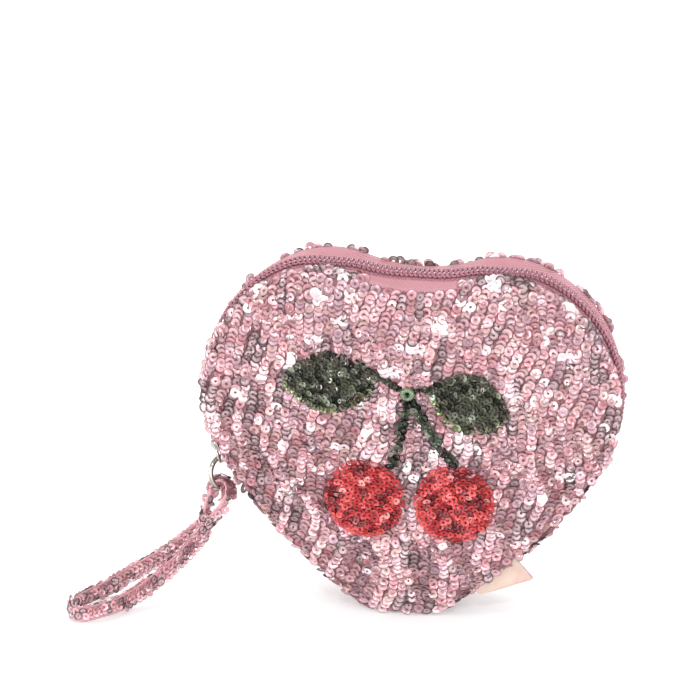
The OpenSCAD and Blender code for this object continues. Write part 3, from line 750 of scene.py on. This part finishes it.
def sew_gusset(film, palette):
    """Sequins of the side strip, with room for the label."""
    spots = []
    for s0, s1 in ((2.2, ZIP_RIGHT - 0.8), (ZIP_LEFT + 0.8, PATH_L - 2.2)):
        key, y, s = strings(-HALF_D, HALF_D, s0, s1)
        keep = (np.abs(y) < HALF_D - 0.2) & (s > s0) & (s < s1)
        keep &= (np.abs(s - LABEL_S) > LABEL_ROOM) | (y > LABEL_ROOM_Y)
        key, y, s = key[keep], y[keep], s[keep]
        x, z = path_at(s, 0.05)
        out = outward(s)
        up = np.stack((-out[:, 2], out[:, 1], out[:, 0]), -1)
        up *= np.where(up[:, 2] < 0, -1.0, 1.0)[:, None]
        spots.append((np.stack((x, y, z), -1), up, np.cross(up, out), out, key + s0, s))
    place, up, across, out, key, s = (np.concatenate(part) for part in zip(*spots))
    colours = pick_colours(len(place), palette, 0.2, 0.07, run_values(key, s))
    return add_sequins("side strip sequins", film, place, up, across, out, colours, lean=10.0)


def motif_frame(x, z, lift):
    place, up, across, out = face_frame(x, z, -1)
    return place + out * lift, up, across, out


def build_cherry(name, centre, base_cloth, film):
    """Padded disc with red sequins in rings."""
    cx, cz = centre
    rings = []
    for ring, radius in enumerate(np.arange(0.55, CHERRY_R - 0.6, CHERRY_RING_GAP)):
        count = max(1, int(2 * math.pi * radius / 1.8))
        angle = np.linspace(0, 2 * math.pi, count, endpoint=False) + ring * 0.7
        tall = cz + CHERRY_RISE + CHERRY_TALL * radius * np.sin(angle)
        rings.append(np.stack((cx + radius * np.cos(angle), tall), 1))
    spots = np.concatenate(rings) + RNG.normal(0, 0.15, (sum(len(r) for r in rings), 2))
    x, z = spots.T
    reach = np.hypot(x - cx, z - cz) / CHERRY_R
    place, up, across, out = motif_frame(x, z, 0.7)
    place = place + out * (1.3 * (1 - np.minimum(reach, 1) ** 2))[:, None]
    dusk = np.sin(x * 0.43 + 1.1) * np.cos(z * 0.37 + 0.4) > 0.62
    run = np.where(dusk, 0.0, RNG.random(len(x)))
    colours = pick_colours(len(x), RED, 0.12, 0.025, run)
    sequins = add_sequins(name + " sequins", film, place, up, across, out, colours,
                          radius=1.3, lean=12, loose=12)
    steps, sides = 7, 40
    angle = np.linspace(0, 2 * math.pi, sides, endpoint=False)
    points = []
    for share in np.linspace(1, 0.02, steps):
        bx, bz = cx + (CHERRY_R - 0.6) * share * np.cos(angle), cz + (CHERRY_R - 0.6) * share * np.sin(angle)
        p = motif_frame(bx, bz, 0.25)[0]
        p[:, 1] -= 0.9 * (1 - share ** 2)
        points.append(p)
    faces = grid_faces(steps, sides, closed_cols=True)
    faces.append(tuple((steps - 1) * sides + j for j in range(sides)))
    base = add_mesh(name, np.concatenate(points), faces, [base_cloth])
    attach(base, "bag")
    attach(sequins, "bag")
    return base


def build_leaf(name, leaf, base_cloth, film):
    """Leaf of dark green sequins in slanted rows, over a flat base."""
    (x0, z0), length, deg = leaf
    c, s = math.cos(math.radians(deg)), math.sin(math.radians(deg))
    slant = math.radians(LEAF_ROW_DEG)
    row, step = np.meshgrid(np.arange(-length, length, LEAF_ROW_GAP), np.arange(-length, length, LEAF_STEP),
                            indexing="ij")
    row_x = x0 + 0.5 * length * c + step * math.cos(slant) - row * math.sin(slant)
    row_z = z0 + 0.5 * length * s + step * math.sin(slant) + row * math.cos(slant)
    along, across = leaf_places(row_x, row_z, leaf)
    inside = (along > 0.05) & (along < 0.95) & (np.abs(across) < 0.87)
    spots = list(zip(row_x[inside], row_z[inside]))
    for share in np.linspace(0.02, 0.98, 26):
        half = float(leaf_half_width(share)) - 0.1
        for edge in (-half, half):
            along = share * length
            spots.append((x0 + along * c - edge * s, z0 + along * s + edge * c))
    x, z = (np.array(spots) + RNG.normal(0, 0.15, (len(spots), 2))).T
    place, up, across, out = motif_frame(x, z, 0.8)
    colours = pick_colours(len(x), LEAF_GREEN, 0.25, 0.06)
    edge = leaf_places(x, z, leaf)[1]
    colours[0][(np.abs(edge) > 0.9) & (edge * c < 0)] *= OLIVE_EDGE
    head = across * math.cos(slant) + up * math.sin(slant)
    sequins = add_sequins(name + " sequins", film, place, head, np.cross(head, out), out, colours,
                          radius=1.2, lean=24, loose=12, wild=0.08)
    shares = np.linspace(0.02, 0.98, 24)
    half = leaf_half_width(shares) * 0.9
    upper, lower = (np.stack((x0 + shares * length * c - way * half * s,
                              z0 + shares * length * s + way * half * c), 1) for way in (1, -1))
    rows = []
    for t in np.linspace(0, 1, 7):
        row = upper * (1 - t) + lower * t
        rows.append(motif_frame(row[:, 0], row[:, 1], 0.35)[0])
    base = add_mesh(name, np.concatenate(rows), grid_faces(7, len(shares), flip=True), [base_cloth])
    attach(base, "flap")
    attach(sequins, "flap")
    return base


def line_spots(points, step):
    """Places at equal steps along a bent line in the plane."""
    line = smooth_line(np.array([(p[0], p[1], 0) for p in points], float), 12)[:, :2]
    gaps = distances(line)
    at = np.arange(step / 2, gaps[-1], step)
    return np.interp(at, gaps, line[:, 0]), np.interp(at, gaps, line[:, 1])


def build_stems(thread, film):
    """Stems and leaf stalks: single strings of dark green sequins over a thread."""
    spots = [line_spots(stem, 1.05) for stem in STEMS]
    parts = [sweep(motif_frame(x, z, 0.5)[0], 0.6, 0.5, 6, (0, 1, 0))[:2] for x, z in spots]
    cord = add_mesh("stem thread", *joined(parts), [thread])
    x, z = (np.concatenate(part) for part in zip(*spots))
    place, up, across, out = motif_frame(x, z, 1.0)
    place = place + across * (np.arange(len(x)) % 2 * 1.3 - 0.65)[:, None]
    colours = pick_colours(len(x), STEM_GREEN, 0.35, 0.08)
    sequins = add_sequins("stem sequins", film, place, up, across, out, colours,
                          radius=1.4, lean=22, loose=14)
    spots = [line_spots(stalk, 1.0) for stalk in STALKS]
    x, z = (np.concatenate(part) for part in zip(*spots))
    place, up, across, out = motif_frame(x, z, 0.9)
    colours = pick_colours(len(x), STALK_GREEN, 0.3, 0.05)
    stalk = add_sequins("leaf stalk sequins", film, place, up, across, out, colours,
                        radius=1.15, lean=24, loose=14)
    return cord, sequins, stalk


def build_bead(glass):
    """Round glass bead with its hole towards the front."""
    x, z = BEAD
    y = -float(face_depth(np.array(x), np.array(z))) - BEAD_PROUD
    angle = np.linspace(0, 2 * math.pi, 28, endpoint=False)
    line = np.stack((x + BEAD_R * np.cos(angle), np.full_like(angle, y), z + BEAD_R * np.sin(angle)), 1)
    points, faces, *_ = sweep(line, BEAD_W, BEAD_T, 14, (0, 1, 0), closed=True)
    return add_mesh("stem bead glass", points, faces, [glass])


def build_label(cloth):
    """Blank ribbon folded in half and sewn askew in the seam, with its fold outside."""
    side_cx, side_cz = ARCS[0][:2]
    deg = math.radians(LABEL_DEG)
    away = np.array((math.cos(deg), math.sin(deg)))
    level = np.array((-math.sin(deg), math.cos(deg)))
    at = np.array((side_cx, side_cz)) + (SIDE_R + 0.15) * away
    reach = np.concatenate((np.linspace(-0.1, 0.95, 8), (1.0, 0.95), np.linspace(0.95, -0.1, 8)[1:]))
    depth = np.concatenate((np.linspace(0.30, 0.40, 8), (0.0, -0.40), np.linspace(-0.40, -0.30, 8)[1:]))
    rows = []
    for along in np.linspace(-LABEL_L / 2, LABEL_L / 2, 18):
        share = (along + LABEL_L / 2) / LABEL_L
        corner = LABEL_CORNER * abs(2 * share - 1) ** 12
        width = LABEL_OUT * (LABEL_NARROW + (1 - LABEL_NARROW) * share) - corner
        sway = 0.35 * math.sin(along * 0.35) * np.clip(reach, 0, 1)
        place = at[None] + away * (reach * width)[:, None] + level * along
        rows.append(np.stack((place[:, 0], -HALF_D - 0.1 + depth + sway, place[:, 1]), -1))
    points = np.concatenate(rows)
    return add_mesh("folded label", points, grid_faces(18, len(reach), flip=True), [cloth])


def strap_spots(line, t, u, v):
    """Places, forward and outward directions of the sequins on both sides of the strap."""
    gaps = distances(line)
    spots = []
    for face in (-1, 1):
        for row in STRAP_ROWS:
            at = np.arange(1.2 + abs(row) * 0.5, gaps[-1] - 1.0, STRAP_STEP)
            place, wide, side, head = (
                np.stack([np.interp(at, gaps, value[:, k]) for k in range(3)], -1)
                for value in (line, u, v, t))
            side = side * face
            spots.append((place + wide * row + side * STRAP_T * 0.45, head, side))
    return spots


def build_eye(satin):
    """Eye that goes round the ring, with the spots of its sequins."""
    line, way = eye_route()
    points, faces, t, u, v = sweep(line, EYE_W, EYE_T, 12, way)
    spots = []
    for row, face in EYE_ROWS:
        pick = np.arange(2 + (row > 0), len(line) - 2, 2)
        side = face * v[pick] * np.sign(np.sum(v[pick] * (line[pick] - line.mean(0)), 1))[:, None]
        spots.append((line[pick] + side * 0.6 + u[pick] * row, t[pick], side))
    return add_mesh("strap eye", points, faces, [satin]), spots


def build_band(satin):
    """Band that gathers the strap under its eye, with the spots of its sequins."""
    up = unit(STRAP_AT - KEEPER_AT)
    line = KEEPER_AT + up * np.linspace(-0.4, 3.0, 6)[:, None]
    points, faces, _, u, v = sweep(line, BAND_W, BAND_T, 16, (0.3, -1, 0))
    spots = []
    for turn in np.arange(0, 2 * math.pi, math.pi / 4):
        for row in (1, 3):
            wide, thin = u[row] * math.cos(turn + row), v[row] * math.sin(turn + row)
            place = line[row] + wide * (BAND_W - 0.1) + thin * (BAND_T - 0.1)
            spots.append((place[None], up[None], (wide + thin)[None]))
    return add_mesh("strap band", points, faces, [satin]), spots


def build_strap(satin, film, palette):
    """Flat strap sewn over with sequins, gathered under an eye that goes round the ring."""
    line = smooth_line(ROUTE, 8)
    points, faces, t, u, v = sweep(line, STRAP_W / 2, STRAP_T / 2, 12, (0, 0, 1))
    strap = add_mesh("wrist strap", points, faces, [satin])
    eye, eye_spots = build_eye(satin)
    band, band_spots = build_band(satin)
    spots = strap_spots(line, t, u, v) + eye_spots + band_spots
    place, up, out = (np.concatenate(part) for part in zip(*spots))
    across = unit(np.cross(up, out))
    keep = place[:, 2] > 1.7
    place, up, across, out = place[keep], up[keep], across[keep], out[keep]
    colours = pick_colours(len(place), palette, 0.2, 0.08)
    sequins = add_sequins("strap sequins", film, place, up, across, out, colours,
                          radius=1.4, lean=9, wild=0.05)
    for piece in (strap, eye, band, sequins):
        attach(piece, "strap")
    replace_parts(strap, "strap_loop")
    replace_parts(eye, "strap_eye")
    return strap, eye, band, sequins, distances(line)[-1]


def eye_route():
    """Long loop of the strap's eye, and the way that its flat side looks."""
    down = unit(KEEPER_AT - STRAP_AT)
    run = np.linalg.norm(KEEPER_AT - STRAP_AT)
    yaw = math.atan2(-down[1], -down[0])
    tilt = math.acos(-down[2])
    spin = math.radians(EYE_SPIN_DEG)
    x_axis = np.array((math.cos(tilt) * math.cos(yaw), math.cos(tilt) * math.sin(yaw), -math.sin(tilt)))
    y_axis = np.array((-math.sin(yaw), math.cos(yaw), 0.0))
    side = x_axis * math.cos(spin) + y_axis * math.sin(spin)
    flat = np.cross(down, side)
    half, start = EYE_HALF, EYE_START
    angle = np.linspace(0, math.pi, 14)
    top = [STRAP_AT + down * (start + half - half * math.sin(a)) - side * half * math.cos(a) for a in angle]
    legs = ((run - 0.3, 0.9), (run - 2.6, 1.3), (run - 5.2, 2.7))
    left = [STRAP_AT + down * d - side * w for d, w in legs]
    right = [STRAP_AT + down * d + side * w for d, w in reversed(legs)]
    return smooth_line(np.array(left + top + right), 3), flat


# Stage

AZIMUTH, ELEVATION = 7.0, 20.0
VIEW_DISTANCE = 1.35
PHOTO_SPAN = 218.75
AIM_RIGHT, AIM_UP = -19.9, 76.8
ROLL = 1.3
SENSOR = 36.0
FLOOR_GLOW = 0.24

# Lights, in metres: name, place, height that it aims at, size and power in watts
LIGHTS = (
    ("top soft box", (-0.05, 0.6, 0.9), 0.05, (0.9, 0.5), 4.1),
    ("front soft box", (-0.1, -1.2, 0.22), 0.05, (0.9, 0.3), 6.4),
    ("low soft box", (0.0, -0.9, 0.04), 0.03, (0.8, 0.06), 1.4),
    ("right strip", (0.9, -0.5, 0.2), 0.05, (0.12, 0.5), 4.0),
    ("left strip", (-0.9, -0.45, 0.2), 0.05, (0.12, 0.5), 6.0),
    ("glint", (0.12, -0.8, 0.65), 0.05, (0.06, 0.06), 2.0),
    ("rear soft box", (0.1, 1.2, 0.4), 0.05, (0.9, 0.3), 6.5),
)


def build_camera():
    """Telephoto view at the photo's angle."""
    a, e = math.radians(AZIMUTH), math.radians(ELEVATION)
    look = Vector((-math.sin(a) * math.cos(e), math.cos(a) * math.cos(e), -math.sin(e)))
    right = Vector((math.cos(a), math.sin(a), 0))
    up = right.cross(look)
    aim = (right * AIM_RIGHT + up * AIM_UP) * MM
    data = bpy.data.cameras.new("photo view")
    camera = bpy.data.objects.new("photo view", data)
    bpy.context.scene.collection.objects.link(camera)
    camera.location = aim - look * VIEW_DISTANCE
    camera.rotation_mode = "QUATERNION"
    turn = Quaternion(look, math.radians(-ROLL))
    camera.rotation_quaternion = turn @ look.to_track_quat("-Z", "Y")
    data.sensor_width = SENSOR
    data.lens = SENSOR * VIEW_DISTANCE / (PHOTO_SPAN * MM)
    data.clip_start, data.clip_end = 0.05, 20.0
    bpy.context.scene.camera = camera


def area_light(name, place, aim, size, power):
    data = bpy.data.lights.new(name, "AREA")
    data.shape = "RECTANGLE"
    data.size, data.size_y = size
    data.energy = power
    light = bpy.data.objects.new(name, data)
    light.location = place
    light.rotation_mode = "QUATERNION"
    light.rotation_quaternion = (Vector(aim) - Vector(place)).to_track_quat("-Z", "Y")
    bpy.context.scene.collection.objects.link(light)


def around(tree):
    """White surround with greyer fields, which the sequins mirror."""
    place = tree.nodes.new("ShaderNodeTexCoord")
    noise = tree.nodes.new("ShaderNodeTexNoise")
    noise.inputs["Scale"].default_value = 2.6
    noise.inputs["Detail"].default_value = 0.0
    ramp = add_ramp(tree.nodes, (0.40, 0.40, 0.40), (1, 1, 1), 0.42, 0.52)
    background = tree.nodes["Background"]
    tree.links.new(place.outputs["Generated"], noise.inputs["Vector"])
    tree.links.new(noise.outputs["Fac"], ramp.inputs["Fac"])
    tree.links.new(ramp.outputs["Color"], background.inputs["Color"])
    background.inputs["Strength"].default_value = 1.0


def build_floor():
    """White floor that shows a little brighter to the camera and in mirrors."""
    bpy.ops.mesh.primitive_plane_add(size=12, location=(0, 0, 0))
    floor = bpy.context.object
    floor.name = "floor"
    m, nodes, links, shader = material("white floor")
    shader.inputs["Base Color"].default_value = (0.82, 0.82, 0.82, 1)
    shader.inputs["Roughness"].default_value = 0.9
    glow = nodes.new("ShaderNodeEmission")
    glow.inputs["Color"].default_value = (1, 1, 1, 1)
    seen = nodes.new("ShaderNodeLightPath")
    mirrored = add_math(nodes, links, "MAXIMUM", seen.outputs["Is Glossy Ray"],
                        seen.outputs["Is Transmission Ray"])
    straight = add_math(nodes, links, "MAXIMUM", seen.outputs["Is Camera Ray"], mirrored)
    strength = add_math(nodes, links, "MULTIPLY", straight, FLOOR_GLOW)
    add = nodes.new("ShaderNodeAddShader")
    output = nodes["Material Output"]
    links.new(strength, glow.inputs["Strength"])
    links.new(shader.outputs["BSDF"], add.inputs[0])
    links.new(glow.outputs["Emission"], add.inputs[1])
    links.new(add.outputs["Shader"], output.inputs["Surface"])
    floor.data.materials.append(m)


def build_stage():
    """White floor, even light from all round, and a white surround."""
    build_floor()
    world = bpy.data.worlds.new("studio")
    bpy.context.scene.world = world
    world.use_nodes = True
    around(world.node_tree)
    for name, place, aim_z, size, power in LIGHTS:
        area_light(name, place, (0, 0, aim_z), size, power)
    bpy.context.scene.view_settings.view_transform = "Standard"


# The scene

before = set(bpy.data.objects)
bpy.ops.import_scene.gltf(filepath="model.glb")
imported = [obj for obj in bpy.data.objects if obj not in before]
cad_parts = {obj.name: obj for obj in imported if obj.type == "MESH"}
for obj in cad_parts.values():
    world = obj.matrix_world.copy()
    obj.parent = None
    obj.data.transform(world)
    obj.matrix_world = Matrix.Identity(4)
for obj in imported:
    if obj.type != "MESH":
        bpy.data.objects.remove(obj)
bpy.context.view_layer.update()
build_camera()

cloth = cloth_material("pink backing", (0.27, 0.125, 0.14), (0.35, 0.17, 0.19))
satin = cloth_material("pink satin", (0.44, 0.21, 0.24), (0.54, 0.29, 0.32), roughness=0.45)
red_cloth = cloth_material("red backing", (0.17, 0.03, 0.02), (0.07, 0.07, 0.03))
green_cloth = cloth_material("green backing", (0.010, 0.016, 0.010), (0.02, 0.03, 0.018))
label_cloth = cloth_material("blank label", (0.48, 0.32, 0.28), (0.50, 0.41, 0.33), scale=150.0,
                             roughness=0.6)
twill = twill_material()
thread = cloth_material("coil thread", (0.42, 0.155, 0.195), (0.53, 0.215, 0.265), scale=1500.0)
nylon = hard_material("zip coil nylon", (0.38, 0.155, 0.20), 700.0, 0.15, {"Roughness": 0.42})
metal = hard_material("satin nickel", (0.46, 0.44, 0.39), 500.0, 0.12, {"Metallic": 1.0, "Roughness": 0.28})
glass = hard_material("green glass bead", (0.29, 0.40, 0.24), 300.0, 0.05,
                      {"Roughness": 0.08, "Transmission Weight": 0.6, "IOR": 1.5})
pink_film = sequin_material("pink sequin film")
red_film = sequin_material("red sequin film", roughness=0.28)
green_film = sequin_material("green sequin film", roughness=0.2)

front = build_face("front face", -1, cloth, satin)
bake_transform(front)
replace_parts(front, "front_panel_upper", "front_panel_lower", "front_wadding_upper", "front_wadding_lower",
            "front_lining_upper", "front_lining_lower")
back = build_face("back face", 1, cloth, satin)
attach(back, "bag")
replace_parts(back, "back_panel", "back_wadding", "back_lining")

front_sequins = sew_face("front sequins", -1, pink_film, PINK)
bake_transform(front_sequins)
back_sequins = sew_face("back sequins", 1, pink_film, PINK)
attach(back_sequins, "bag")
for piece in build_gusset(cloth, satin):
    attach(piece, "bag")
    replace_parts(piece, "bottom_gusset", "gusset_lining")
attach(sew_gusset(pink_film, PINK), "bag")

front_tape, rear_tape = build_tapes(twill)
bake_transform(front_tape)
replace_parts(front_tape, "front_zip_tape", "front_tape_ends")
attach(rear_tape, "bag")
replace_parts(rear_tape, "rear_zip_tape")
front_coil = build_coil("front coil", ZIP_RIGHT + STOP_L, ZIP_LEFT - STOP_L, -1, 0.5, nylon)
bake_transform(front_coil)
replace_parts(front_coil, "front_zip_coil", "front_coil_ends")
rear_coil = build_coil("rear coil", ZIP_RIGHT + STOP_L, ZIP_LEFT - STOP_L, 1, 0.0, nylon)
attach(rear_coil, "bag")
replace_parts(rear_coil, "rear_zip_coil")
front_stitch, rear_stitch = build_stitches(thread)
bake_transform(front_stitch)
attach(rear_stitch, "bag")

for node, centre in zip(("left_cherry", "right_cherry"), CHERRIES):
    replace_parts(build_cherry(node.replace("_", " "), centre, red_cloth, red_film), node)
for node, leaf in (("left_leaf", LEFT_LEAF), ("right_leaf", RIGHT_LEAF)):
    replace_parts(build_leaf(node.replace("_", " "), leaf, green_cloth, green_film), node)
stem_thread, stem_sequins, stalk_sequins = build_stems(green_cloth, green_film)
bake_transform(stem_thread)
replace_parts(stem_thread, "stems", "stem_ends")
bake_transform(stem_sequins)
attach(stalk_sequins, "flap")
bead = build_bead(glass)
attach(bead, "flap")
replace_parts(bead, "stem_bead")

label = build_label(label_cloth)
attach(label, "bag")
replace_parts(label, "side_label")

strap, eye, band, strap_sequins, strap_length = build_strap(satin, pink_film, STRAP_PINK)

for node, shown in (("slider_body", metal), ("link_ring", metal), ("pull_ring", metal), ("zip_stops", nylon)):
    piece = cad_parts[node]
    piece.data.materials.clear()
    piece.data.materials.append(shown)

build_stage()
